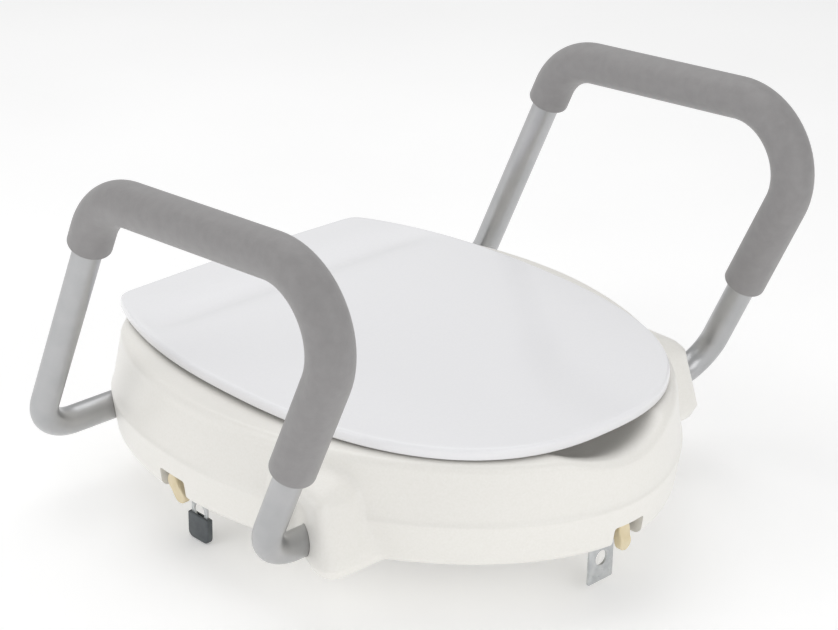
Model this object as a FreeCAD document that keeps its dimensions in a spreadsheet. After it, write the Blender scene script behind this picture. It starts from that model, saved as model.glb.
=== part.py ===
import FreeCAD, Part
import math
import os
import re
import Sketcher
from FreeCAD import Placement, Rotation, Vector

# Raised toilet seat with a lid, two removable armrests and three clamps.
# Millimetres. The origin lies on the flat underside, which rests on the bowl's rim, midway
# between the four armrest legs. +Z is up, -Y is the front and +X is the sitter's left.

SIZES = [
    # the seat body's outer shape, widest at its crease
    ("body_half_width", 231),
    ("body_front", 305),
    ("body_rear", 205),
    ("body_widest_y", -12),
    ("body_front_power", 1.85),
    ("body_rear_power", 2.2),
    ("body_rear_reach", 255),
    ("body_height", 90),
    ("body_wall", 3),
    ("crease_height", 39),
    ("crease_step", 1.5),
    ("bottom_draft", 4),
    ("top_draft_side", 13),
    ("top_draft_end", 4),
    ("edge_round", 7),
    # the opening and the dished top around it
    ("opening_half_width", 105),
    ("opening_half_length", 135),
    ("opening_y", -45),
    ("opening_roll", 14),
    ("scoop_depth", 8),
    ("scoop_radius", 230),
    # the bosses that carry the front legs
    ("boss_outer_x", 228),
    ("boss_inner_x", 150),
    ("boss_front_y", -190),
    ("boss_rear_y", -112),
    ("boss_height", 74),
    ("boss_taper", 11),
    ("boss_round", 14),
    # the armrests
    ("leg_y", 148.5),
    ("leg_height", 21.5),
    ("arm_span", 269),
    ("tube_diameter", 25),
    ("tube_wall", 1.5),
    ("post_lean", 23.9),
    ("rear_corner_height", 276),
    ("front_corner_height", 297.4),
    ("top_bend_radius", 60),
    ("bottom_bend_radius", 40),
    ("front_leg_end", 140),
    ("rear_leg_end", 112),
    ("socket_clearance", 0.3),
    ("grip_diameter", 38),
    ("grip_rear_drop", 54),
    ("grip_front_drop", 195),
    ("plug_flange", 2),
    ("plug_stub", 9),
    # the spring buttons that lock the legs
    ("button_radius", 4),
    ("button_inset", 22),
    ("button_travel", 5),
    ("button_flange_radius", 5.5),
    ("button_flange", 1),
    ("button_clearance", 0.4),
    ("spring_strip", 0.6),
    ("spring_width", 8),
    ("spring_length", 28),
    # the lid
    ("lid_half_width", 187),
    ("lid_front", 274.5),
    ("lid_rear_reach", 289),
    ("lid_widest_y", -4),
    ("lid_front_power", 2.5),
    ("lid_rear_power", 2.14),
    ("lid_rear", 189),
    ("lid_rear_sag", 7.2),
    ("lid_bottom", 92),
    ("lid_thickness", 10),
    ("lid_skin", 4),
    ("lid_rim", 6),
    ("lid_edge_round", 3),
    ("bumper_radius", 6),
    ("bumper_front_x", 105),
    ("bumper_front_y", -195),
    ("bumper_rear_x", 150),
    ("bumper_rear_y", 60),
    ("bumper_gap", 0.3),
    # the lid's hinges
    ("hinge_x", 75),
    ("hinge_y", 195.5),
    ("hinge_z", 91.5),
    ("knuckle_radius", 6.5),
    ("knuckle_width", 20),
    ("lug_width", 10),
    ("lug_gap", 0.5),
    ("lug_reach", 19.5),
    ("pin_radius", 2.5),
    ("pin_clearance", 0.05),
    ("deck_height", 82),
    ("deck_half_width", 105),
    ("deck_front_y", 152),
    ("post_plate", 4),
    ("post_front_y", 160),
    ("post_screw_first_y", 167),
    ("post_screw_pitch", 13),
    ("post_screw_radius", 2),
    ("post_screw_length", 16),
    # the clamps, measured inwards from the body's wall at the underside
    ("side_clamp_y", 12),
    ("pocket_half_width", 17.5),
    ("pocket_length", 64),
    ("pocket_height", 20),
    ("clamp_axis_height", 5),
    ("knob_start", 3),
    ("knob_thickness", 8),
    ("knob_half_length", 14),
    ("knob_half_width", 6.5),
    ("knob_hub_radius", 6.5),
    ("bearing_start", 16),
    ("bearing_thickness", 4),
    ("bearing_flange", 10),
    ("bearing_foot", 3),
    ("side_gap", 0.3),
    ("fixing_share", 0.8),
    ("screw_radius", 3),
    ("screw_end", 58),
    ("screw_clearance", 0.05),
    ("collar_radius", 6),
    ("collar_thickness", 2),
    ("bracket_start", 28),
    ("bracket_thickness", 2),
    ("front_bracket_half_width", 15),
    ("side_bracket_half_width", 10.5),
    ("bracket_top", 16),
    ("bracket_drop", 48),
    ("bracket_hole_radius", 7),
    ("bracket_hole_drop", 26),
    ("bracket_screw_hole", 3.5),
    ("nut_length", 8),
    ("nut_half_width", 9),
    ("nut_half_height", 7),
    ("boot_wall", 2),
    ("boot_margin", 3),
    ("boot_top", 30),
    ("fixing_x", 11),
    ("fixing_radius", 1.75),
    ("fixing_head_radius", 3.2),
    ("fixing_head", 2.2),
    ("fixing_length", 9),
]

doc = FreeCAD.newDocument("raised_toilet_seat")
sheet = doc.addObject("Spreadsheet::Sheet", "Sizes")
for row, (alias, size) in enumerate(SIZES, start=1):
    sheet.set(f"A{row}", alias)
    sheet.set(f"B{row}", str(size))
    sheet.setAlias(f"B{row}", alias)
doc.recompute()

ALIASES = {alias for alias, size in SIZES}
SIDES = (("left", 1), ("right", -1))
LEG_ENDS = (("front", -1), ("rear", 1))
OUTLINE_POINTS = 32
CORNER_POWER = 12  # how sharply the body's rear edge meets its sides
WELD = 1.0  # how far joined solids run into each other
PAST = 5.0  # how far a cut runs past what it cuts
subparts = []


# ---- values and helpers ----------------------------------------------------------------

def size(expression):
    """The value of an expression in the sheet's names."""
    return float(sheet.evalExpression(str(expression)))


def linked(expression):
    """The expression as another object writes it, with each name taken from the sheet."""
    def name(match):
        word = match.group()
        return "Sizes." + word if word in ALIASES else word
    return re.sub(r"[A-Za-z_]\w*", name, str(expression))


def bind(item, **expressions):
    for key, expression in expressions.items():
        item.setExpression(key, linked(expression))
    return item


def put(item, x=0, y=0, z=0, turn=None):
    """Places an item, with its position bound to the sheet."""
    item.Placement = Placement(Vector(size(x), size(y), size(z)), turn or Rotation())
    for axis, expression in (("x", x), ("y", y), ("z", z)):
        item.setExpression("Placement.Base." + axis, linked(expression))
    return item


def keep(item, label):
    """Marks an item as one of the finished pieces."""
    item.Label = label
    subparts.append(item)
    return item


ALONG_X = Rotation(Vector(0, 1, 0), 90)
ALONG_Y = Rotation(Vector(1, 0, 0), -90)


def box(name, x, y, z, length, width, height):
    item = bind(doc.addObject("Part::Box", name), Length=length, Width=width, Height=height)
    return put(item, x, y, z)


def cylinder(name, radius, height, x=0, y=0, z=0, turn=None):
    item = bind(doc.addObject("Part::Cylinder", name), Radius=radius, Height=height)
    return put(item, x, y, z, turn)


def fuse(name, items):
    item = doc.addObject("Part::MultiFuse", name)
    item.Shapes = items
    return item


def cut(name, base, tools):
    item = doc.addObject("Part::Cut", name)
    item.Base = base
    item.Tool = tools[0] if len(tools) == 1 else fuse(name + "_tools", tools)
    return item


def drawn(name, shape):
    item = doc.addObject("Part::Feature", name)
    item.Shape = shape
    return item


def loft(name, wires):
    item = doc.addObject("Part::Loft", name)
    item.Sections = [drawn(f"{name}_{n}", wire) for n, wire in enumerate(wires)]
    item.Solid = True
    item.Ruled = True
    return item


def mirrored(name, item):
    """The same piece on the other side of the symmetry plane."""
    other = doc.addObject("Part::Mirroring", name)
    other.Source = item
    other.Base = Vector(0, 0, 0)
    other.Normal = Vector(1, 0, 0)
    return other


def oval(z, half_width, front, rear, middle_y, front_power, rear_power, inset=0, end_inset=None,
         rear_edge=None):
    """A closed oval at a height, whose front and rear halves each bulge by their own power.

    A rear edge cuts the oval off straight, with round corners.
    """
    across = half_width - inset
    ends = inset if end_inset is None else end_inset
    points = []
    for n in range(OUTLINE_POINTS):
        angle = 2 * math.pi * n / OUTLINE_POINTS
        c, s = math.cos(angle), math.sin(angle)
        reach = (front if s < 0 else rear) - ends
        power = front_power if s < 0 else rear_power
        nearness = (abs(c / across) ** power + abs(s / reach) ** power) ** (1 / power)
        if rear_edge is not None and s > 0:
            edge = s / (rear_edge - middle_y - ends)
            nearness = (nearness ** CORNER_POWER + edge ** CORNER_POWER) ** (1 / CORNER_POWER)
        points.append(Vector(c / nearness, middle_y + s / nearness, z))
    curve = Part.BSplineCurve()
    curve.interpolate(points, PeriodicFlag=True)
    return Part.Wire([curve.toShape()])


def new_body(name):
    return doc.addObject("PartDesign::Body", name)


def new_sketch(body, role, lift=0):
    """A sketch on one of the body's own origin planes, lifted along that plane's normal."""
    sketch = body.newObject("Sketcher::SketchObject", body.Name + "_sketch")
    plane = next(f for f in body.Origin.OriginFeatures if f.Role == role)
    sketch.AttachmentSupport = [(plane, "")]
    sketch.MapMode = "FlatFace"
    sketch.AttachmentOffset = Placement(Vector(0, 0, size(lift)), Rotation())
    sketch.setExpression("AttachmentOffset.Base.z", linked(lift))
    return sketch


def hold(sketch, kind, geometry, point, expression):
    """A signed distance from the sketch's origin to a point, bound to the sheet."""
    distance = Sketcher.Constraint(kind, -1, 1, geometry, point, size(expression))
    index = sketch.addConstraint(distance)
    sketch.setExpression(f"Constraints[{index}]", linked(expression))


def polygon(sketch, corners):
    """A closed polygon whose corners lie at the given expressions."""
    points = [Vector(size(x), size(y), 0) for x, y in corners]
    first = sketch.GeometryCount
    count = len(points)
    for n in range(count):
        sketch.addGeometry(Part.LineSegment(points[n], points[(n + 1) % count]))
    for n, (x, y) in enumerate(corners):
        following = first + (n + 1) % count
        sketch.addConstraint(Sketcher.Constraint("Coincident", first + n, 2, following, 1))
        hold(sketch, "DistanceX", first + n, 1, x)
        hold(sketch, "DistanceY", first + n, 1, y)


def rectangle(sketch, left, right, low, high):
    polygon(sketch, [(left, low), (right, low), (right, high), (left, high)])


def circle(sketch, x, y, radius):
    middle = Vector(size(x), size(y), 0)
    index = sketch.addGeometry(Part.Circle(middle, Vector(0, 0, 1), size(radius)))
    hold(sketch, "DistanceX", index, 3, x)
    hold(sketch, "DistanceY", index, 3, y)
    constraint = sketch.addConstraint(Sketcher.Constraint("Radius", index, size(radius)))
    sketch.setExpression(f"Constraints[{constraint}]", linked(radius))


def pad(body, sketch, length, midplane=False, backwards=False):
    feature = body.newObject("PartDesign::Pad", body.Name + "_pad")
    feature.Profile = sketch
    feature.Midplane = midplane
    feature.Reversed = backwards
    bind(feature, Length=length)
    doc.recompute()
    return feature


def pocket(body, sketch, length, midplane=False, backwards=False):
    """Cuts a pocket, and makes sure that it took something away."""
    before = body.Shape.Volume
    feature = body.newObject("PartDesign::Pocket", body.Name + "_pocket")
    feature.Profile = sketch
    feature.Midplane = midplane
    feature.Reversed = backwards
    bind(feature, Length=length)
    doc.recompute()
    if body.Shape.Volume > before - 1e-3:
        raise RuntimeError(body.Name + ": a pocket cut nothing")
    return feature


def turned(body, corners):
    """A piece turned about its own Z axis, from a half profile of radius and height."""
    sketch = new_sketch(body, "XZ_Plane")
    polygon(sketch, corners)
    feature = body.newObject("PartDesign::Revolution", body.Name + "_turned")
    feature.Profile = sketch
    feature.ReferenceAxis = (sketch, ["V_Axis"])
    feature.Angle = 360
    doc.recompute()
    return feature


def soften(body, choose, radius):
    """Rounds the edges that a test picks out."""
    base = body.Tip
    names = [f"Edge{n}" for n, edge in enumerate(base.Shape.Edges, start=1) if choose(edge)]
    feature = body.newObject("PartDesign::Fillet", body.Name + "_round")
    feature.Base = (base, names)
    bind(feature, Radius=radius)
    doc.recompute()
    return feature


def runs_along(edge, axis):
    """True for a straight edge that is parallel to an axis."""
    if not isinstance(edge.Curve, Part.Line):
        return False
    return abs(edge.tangentAt(edge.FirstParameter).dot(axis)) > 0.999


# ---- the seat body ---------------------------------------------------------------------

def body_oval(z, side_inset, end_inset, shrink):
    return oval(
        z,
        size("body_half_width") - shrink,
        size("body_front + body_widest_y") - shrink,
        size("body_rear_reach") - shrink,
        size("body_widest_y"),
        size("body_front_power"),
        size("body_rear_power"),
        side_inset,
        end_inset,
        size("body_rear") - shrink,
    )


def body_shell(name, shrink):
    """The body's outer form, or with a shrink the hollow inside its wall."""
    low, high = shrink, size("body_height") - shrink
    bottom, crease = size("bottom_draft"), size("crease_height")
    step, edge = size("crease_step"), size("edge_round")
    side, end = size("top_draft_side"), size("top_draft_end")
    sections = [
        (low, bottom + edge, bottom + edge),
        (low + edge, bottom, bottom),
        (crease, 0, 0),
        (crease + step, step, step),
        (high - edge, side, end),
        (high, side + edge, end + edge),
    ]
    return loft(name, [body_oval(z, a, b, shrink) for z, a, b in sections])


def opening(name, grow):
    """The way through the body and its funnel mouth, or with a growth their skin."""
    width, length = size("opening_half_width"), size("opening_half_length")
    middle, roll, top = size("opening_y"), size("opening_roll"), size("body_height")
    wires = []
    for z, spread in [(-PAST, 0), (top - roll, 0), (top + PAST, roll + PAST)]:
        reach = length + spread + grow
        wires.append(oval(z, width + spread + grow, reach, reach, middle, 2, 2))
    return loft(name, wires)


def rounded_rectangle(z, x0, x1, y0, y1, radius):
    middles = [(x1 - radius, y1 - radius), (x0 + radius, y1 - radius),
               (x0 + radius, y0 + radius), (x1 - radius, y0 + radius)]
    edges = []
    for n, (x, y) in enumerate(middles):
        points = []
        for step in range(3):
            angle = math.pi / 2 * (n + step / 2)
            points.append(Vector(x + radius * math.cos(angle), y + radius * math.sin(angle), z))
        edges.append(Part.Arc(*points).toShape())
    joined = []
    for n, edge in enumerate(edges):
        following = edges[(n + 1) % 4]
        joined += [edge, Part.LineSegment(edge.valueAt(edge.LastParameter),
                                          following.valueAt(following.FirstParameter)).toShape()]
    return Part.Wire(joined)


def leg_boss(name, shrink):
    """The block on the body's side that a front leg pushes into, narrower at its top."""
    taper, rounding = size("boss_taper"), size("boss_round") - shrink
    height = size("boss_height") - shrink
    wires = []
    for z, inset in [(shrink, 0), (height - taper, 0), (height, taper)]:
        wires.append(rounded_rectangle(
            z,
            size("boss_inner_x"),
            size("boss_outer_x") - shrink - inset,
            size("boss_front_y") + shrink + inset,
            size("boss_rear_y") - shrink,
            rounding,
        ))
    return loft(name, wires)


def leg_end(which):
    return "front_leg_end" if which == "front" else "rear_leg_end"


def leg_bores(name, radius, extra):
    """A cylinder around each leg, from beyond its inner end to outside the body."""
    bores = []
    for side, sign in SIDES:
        for which, end in LEG_ENDS:
            inner = f"{leg_end(which)} - plug_flange - socket_clearance - {extra}"
            reach = f"body_half_width + {PAST} - ({inner})"
            start = inner if sign > 0 else f"-body_half_width - {PAST}"
            bores.append(cylinder(f"{name}_{which}_{side}", radius, reach, start,
                                  f"{end} * leg_y", "leg_height", ALONG_X))
    return bores


def button_x(which, sign):
    return f"{sign} * ({leg_end(which)} + button_inset)"


def button_bores(name, radius, low):
    """A vertical cylinder at each spring button, up to its leg's axis."""
    return [
        cylinder(f"{name}_{which}_{side}", radius, f"leg_height - ({low})",
                 button_x(which, sign), f"{end} * leg_y", low)
        for side, sign in SIDES for which, end in LEG_ENDS
    ]


# Each clamp's place on the body's wall: its name, where its own axes start and their turn.
CLAMPS = [
    ("front", ("0", "bottom_draft - body_front"), 0),
    ("left", ("body_half_width - bottom_draft", "side_clamp_y"), 90),
    ("right", ("bottom_draft - body_half_width", "side_clamp_y"), -90),
]


def at_clamp(item, place, degrees):
    return put(item, place[0], place[1], 0, Rotation(Vector(0, 0, 1), degrees))


def clamp_point(place, degrees, across, inward):
    """A point given along a clamp's own axes, as expressions in the model's axes."""
    x, y = place
    if degrees == 0:
        return f"{x} + ({across})", f"{y} + ({inward})"
    sign = 1 if degrees > 0 else -1
    return f"{x} - {sign} * ({inward})", f"{y} + {sign} * ({across})"


def clamp_box(name, half_width, start, length, low, high, place, degrees):
    """A box in a clamp's own axes, where y runs inwards from the wall."""
    x, y = clamp_point(place, degrees, f"-({half_width})", start)
    item = box(name, x, y, low, f"2 * ({half_width})", length, f"{high} - ({low})")
    return put(item, x, y, low, Rotation(Vector(0, 0, 1), degrees))


def clamp_fixings(name, radius, low, high, place, degrees):
    """The two upright cylinders of a clamp's fixing screws."""
    inward = "bearing_start + bearing_flange * fixing_share"
    posts = []
    for n, sign in enumerate((-1, 1)):
        x, y = clamp_point(place, degrees, f"{sign} * fixing_x", inward)
        posts.append(cylinder(f"{name}_{n}", radius, f"{high} - ({low})", x, y, low))
    return posts


def post_screw_places():
    for side, sign in SIDES:
        for n in range(2):
            yield side, n, f"{sign} * hinge_x", f"post_screw_first_y + {n} * post_screw_pitch"


def make_seat_body():
    wall = "body_wall"
    bosses = [leg_boss("boss_left", 0)]
    bosses.append(mirrored("boss_right", bosses[0]))
    outer = fuse("body_outer", [body_shell("body_form", 0)] + bosses)

    hollow_bosses = [leg_boss("boss_hollow_left", size(wall))]
    hollow_bosses.append(mirrored("boss_hollow_right", hollow_bosses[0]))
    inner = fuse("body_inner", [body_shell("body_inner_form", size(wall))] + hollow_bosses)

    def deck(name, grow):
        return box(name, f"-deck_half_width - {grow}", f"deck_front_y - {grow}",
                   f"deck_height - {grow}", f"2 * (deck_half_width + {grow})",
                   "body_rear", f"body_height - deck_height + {PAST}")

    def scoop(name, grow):
        return cylinder(name, f"scoop_radius + {grow}", f"body_front + opening_y + 2 * {PAST}", 0,
                        f"opening_y - {PAST}", "body_height - scoop_depth + scoop_radius",
                        Rotation(Vector(1, 0, 0), 90))

    def pockets(name, grow):
        return [
            clamp_box(f"{name}_{clamp}", f"pocket_half_width + {grow}", f"-4 * {PAST}",
                      f"pocket_length + {grow} + 4 * {PAST}", f"-{PAST}",
                      f"pocket_height + {grow}", place, degrees)
            for clamp, place, degrees in CLAMPS
        ]

    socket = "tube_diameter / 2 + socket_clearance"
    post_holes = "deck_height - post_screw_length - body_wall"
    skins = [opening("opening_skin", size(wall)), deck("deck_skin", wall)]
    skins.append(scoop("scoop_skin", wall))
    skins += pockets("pocket_skin", wall)
    skins += leg_bores("socket_skin", f"{socket} + {wall}", wall)
    skins += button_bores("button_skin", f"button_radius + button_clearance + {wall}", 0)
    for clamp, place, degrees in CLAMPS:
        skins += clamp_fixings(f"fixing_skin_{clamp}", f"fixing_radius + {wall}", "pocket_height",
                               f"pocket_height + fixing_length + {wall}", place, degrees)
    for side, n, x, y in post_screw_places():
        skins.append(cylinder(f"post_skin_{side}_{n}", f"post_screw_radius + {wall}",
                              f"deck_height - ({post_holes})", x, y, post_holes))
    hollow = cut("body_hollow", inner, skins)

    tools = [opening("opening_way", 0), deck("hinge_deck", 0), scoop("front_scoop", 0)]
    tools += pockets("clamp_pocket", 0)
    tools += leg_bores("leg_socket", socket, 0)
    tools += button_bores("button_hole", "button_radius + button_clearance", -PAST)
    for clamp, place, degrees in CLAMPS:
        tools += clamp_fixings(f"fixing_hole_{clamp}", "fixing_radius", f"pocket_height - {WELD}",
                               "pocket_height + fixing_length", place, degrees)
    for side, n, x, y in post_screw_places():
        tools.append(cylinder(f"post_hole_{side}_{n}", "post_screw_radius",
                              f"post_screw_length + {WELD}", x, y,
                              "deck_height - post_screw_length"))
    solid = cut("body_solid", outer, tools)
    doc.recompute()

    # the sealed hollow never meets the outside, so its skin is simply the solid's second shell
    skin, void = solid.Shape.Solids[0].OuterShell, hollow.Shape.Solids[0].OuterShell
    void.reverse()
    body = drawn("seat_body", Part.makeSolid(Part.makeCompound([skin, void])))
    expected = solid.Shape.Volume - hollow.Shape.Volume
    if abs(body.Shape.Volume - expected) > expected * 0.01:
        raise RuntimeError("the seat body's hollow was lost")
    return keep(body, "seat_body")


# ---- the lid and its hinges ------------------------------------------------------------

def lid_oval(z, inset):
    return oval(
        z,
        size("lid_half_width"),
        size("lid_front + lid_widest_y"),
        size("lid_rear_reach"),
        size("lid_widest_y"),
        size("lid_front_power"),
        size("lid_rear_power"),
        inset,
    )


def lid_rear_cutter(name, inset):
    """The space behind the lid's rear edge, which is a shallow arc."""
    rear, sag = size("lid_rear") - inset, size("lid_rear_sag")
    half, far = size("lid_half_width"), size("lid_rear_reach")
    low, high = size("lid_bottom") - PAST, size("lid_thickness") + 3 * PAST
    ends = [Vector(-half, rear - sag, low), Vector(half, rear - sag, low)]
    back = [Vector(half, far + PAST, low), Vector(-half, far + PAST, low)]
    edges = [Part.Arc(ends[0], Vector(0, rear, low), ends[1]).toShape()]
    corners = [ends[1]] + back + [ends[0]]
    edges += [Part.LineSegment(a, b).toShape() for a, b in zip(corners, corners[1:])]
    item = doc.addObject("Part::Extrusion", name)
    item.Base = drawn(name + "_outline", Part.Wire(edges))
    item.DirMode = "Custom"
    item.Dir = Vector(0, 0, 1)
    item.Solid = True
    item.LengthFwd = high
    return item


def make_lid():
    low, high = size("lid_bottom"), size("lid_bottom + lid_thickness")
    edge, rim, skin = size("lid_edge_round"), size("lid_rim"), size("lid_skin")
    outer = loft("lid_form", [
        lid_oval(low, edge * 0.5), lid_oval(low + edge * 0.5, 0), lid_oval(high - edge, 0),
        lid_oval(high - edge * 0.3, edge * 0.3), lid_oval(high, edge),
    ])
    plate = cut("lid_plate", outer, [lid_rear_cutter("lid_rear_cut", 0)])
    inner = loft("lid_inner_form", [lid_oval(low - PAST, rim), lid_oval(high - skin, rim)])
    hollow = cut("lid_hollow", inner, [lid_rear_cutter("lid_inner_cut", rim)])

    added, bored = [], []
    shifts = {"outer": "knuckle_width + lug_gap", "inner": "-lug_gap - lug_width"}
    for side, sign in SIDES:
        for place, shift in shifts.items():
            start = f"{sign} * hinge_x - knuckle_width / 2 + {shift}"
            name = f"lug_{place}_{side}"
            added.append(cylinder(name + "_barrel", "knuckle_radius", "lug_width", start,
                                  "hinge_y", "hinge_z", ALONG_X))
            added.append(box(name + "_web", start, "hinge_y - lug_reach",
                             "hinge_z - knuckle_radius / 2", "lug_width", "lug_reach",
                             "knuckle_radius * 1.5"))
        bored.append(cylinder(f"lug_bore_{side}", "pin_radius + pin_clearance",
                              "knuckle_width + 2 * lug_width + 2 * lug_gap + 2",
                              f"{sign} * hinge_x - knuckle_width / 2 - lug_width - lug_gap - 1",
                              "hinge_y", "hinge_z", ALONG_X))
    for which, x, y in bumper_places():
        added.append(cylinder(f"bumper_boss_{which}", "bumper_radius + 2",
                              "lid_thickness - lid_skin / 2", x, y, "lid_bottom"))
    lid = doc.addObject("Part::Cut", "lid")
    lid.Base = fuse("lid_solid", [cut("lid_shell", plate, [hollow])] + added)
    lid.Tool = fuse("lid_bores", bored)
    return keep(lid, "lid")


def bumper_places():
    for side, sign in SIDES:
        for end, _ in LEG_ENDS:
            yield f"{end}_{side}", f"{sign} * bumper_{end}_x", f"bumper_{end}_y"


def make_lid_bumpers():
    """Buttons under the lid that land on the seat's rim."""
    low = "body_height + bumper_gap"
    for which, x, y in bumper_places():
        item = cylinder(f"lid_bumper_{which}", "bumper_radius", f"lid_bottom - ({low})", x, y, low)
        keep(item, f"lid_bumper_{which}")


def make_hinges():
    for side, sign in SIDES:
        post = new_body(f"hinge_post_{side}")
        sketch = new_sketch(post, "YZ_Plane")
        rear = "hinge_y + knuckle_radius"
        plate_top = "deck_height + post_plate"
        polygon(sketch, [
            ("post_front_y", "deck_height"), (rear, "deck_height"), (rear, "hinge_z"),
            ("hinge_y - knuckle_radius", "hinge_z"), ("hinge_y - knuckle_radius", plate_top),
            ("post_front_y", plate_top),
        ])
        pad(post, sketch, "knuckle_width", midplane=True)
        barrel = new_sketch(post, "YZ_Plane")
        circle(barrel, "hinge_y", "hinge_z", "knuckle_radius")
        pad(post, barrel, "knuckle_width", midplane=True)
        bore = new_sketch(post, "YZ_Plane")
        circle(bore, "hinge_y", "hinge_z", "pin_radius")
        pocket(post, bore, "knuckle_width + 2", midplane=True)
        holes = new_sketch(post, "XY_Plane", plate_top)
        for n in range(2):
            circle(holes, 0, f"post_screw_first_y + {n} * post_screw_pitch",
                   "post_screw_radius + side_gap")
        pocket(post, holes, "post_plate + 1")
        put(post, f"{sign} * hinge_x")
        keep(post, f"hinge_post_{side}")

        pin = cylinder(f"hinge_pin_{side}", "pin_radius",
                       "knuckle_width + 2 * (lug_width + lug_gap)",
                       f"{sign} * hinge_x - knuckle_width / 2 - lug_width - lug_gap",
                       "hinge_y", "hinge_z", ALONG_X)
        keep(pin, f"hinge_pin_{side}")

    screws = []
    for side, n, x, y in post_screw_places():
        shank = cylinder(f"post_shank_{side}_{n}", "post_screw_radius",
                         "post_screw_length + post_plate", x, y, "deck_height - post_screw_length")
        head = cylinder(f"post_head_{side}_{n}", "post_screw_radius * 2", "post_screw_radius",
                        x, y, "deck_height + post_plate")
        screws.append(fuse(f"post_screw_{side}_{n}", [shank, head]))
    group = doc.addObject("Part::Compound", "hinge_screws")
    group.Links = screws
    keep(group, "hinge_screws")


# ---- the armrests ----------------------------------------------------------------------

def arm_corners(sign):
    """The corners of an armrest's centreline, from the front leg's end to the rear leg's."""
    span, leg_y, low = sign * size("arm_span"), size("leg_y"), size("leg_height")
    lean = math.tan(math.radians(size("post_lean")))
    front_z, rear_z = size("front_corner_height"), size("rear_corner_height")
    return [
        Vector(sign * size("front_leg_end"), -leg_y, low),
        Vector(span, -leg_y, low),
        Vector(span, -leg_y - lean * (front_z - low), front_z),
        Vector(span, leg_y - lean * (rear_z - low), rear_z),
        Vector(span, leg_y, low),
        Vector(sign * size("rear_leg_end"), leg_y, low),
    ]


def bent_path(corners, radii):
    """Straight runs joined by arcs that touch them."""
    edges, start = [], corners[0]
    for before, corner, after, radius in zip(corners, corners[1:], corners[2:], radii):
        back = (before - corner).normalize()
        onward = (after - corner).normalize()
        half = back.getAngle(onward) / 2
        reach = radius / math.tan(half)
        inward = (back + onward).normalize()
        middle = corner + inward * (radius / math.sin(half))
        enter, leave = corner + back * reach, corner + onward * reach
        edges.append(Part.LineSegment(start, enter).toShape())
        edges.append(Part.Arc(enter, middle - inward * radius, leave).toShape())
        start = leave
    edges.append(Part.LineSegment(start, corners[-1]).toShape())
    return Part.Wire(edges)


def swept(name, path, radius):
    """A round bar along a path."""
    first = path.OrderedEdges[0]
    ring = bind(doc.addObject("Part::Circle", name + "_ring"), Radius=radius)
    along = first.tangentAt(first.FirstParameter)
    ring.Placement = Placement(first.valueAt(first.FirstParameter), Rotation(Vector(0, 0, 1), along))
    spine = drawn(name + "_path", path)
    item = doc.addObject("Part::Sweep", name)
    item.Sections = [ring]
    item.Spine = (spine, [f"Edge{n + 1}" for n in range(len(path.Edges))])
    item.Solid = True
    item.Frenet = False
    return item


def make_armrests():
    top, bottom = size("top_bend_radius"), size("bottom_bend_radius")
    for side, sign in SIDES:
        corners = arm_corners(sign)
        path = bent_path(corners, [bottom, top, top, bottom])
        name = f"arm_tube_{side}"
        holes = [
            cylinder(f"{name}_{which}_hole", "button_radius + button_clearance", "tube_diameter / 2 + 2",
                     button_x(which, sign), f"{end} * leg_y", "leg_height - tube_diameter / 2 - 2")
            for which, end in LEG_ENDS
        ]
        bore = swept(name + "_bore", path, "tube_diameter / 2 - tube_wall")
        tube = cut(name, swept(name + "_bar", path, "tube_diameter / 2"), [bore] + holes)
        keep(tube, name)

        front, rear = corners[2], corners[3]
        start = front + (corners[1] - front).normalize() * size("grip_front_drop")
        finish = rear + (corners[4] - rear).normalize() * size("grip_rear_drop")
        grip_path = bent_path([start, front, rear, finish], [top, top])
        name = f"arm_grip_{side}"
        grip = cut(name, swept(name + "_bar", grip_path, "grip_diameter / 2"),
                   [swept(name + "_bore", grip_path, "tube_diameter / 2")])
        keep(grip, name)


def at_leg_end(item, which, end, sign):
    """Places a piece whose own axes start at a leg's inner end, with x running outwards."""
    turn = Rotation(Vector(0, 0, 1), 0 if sign > 0 else 180)
    return put(item, f"{sign} * {leg_end(which)}", f"{end} * leg_y", "leg_height", turn)


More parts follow.
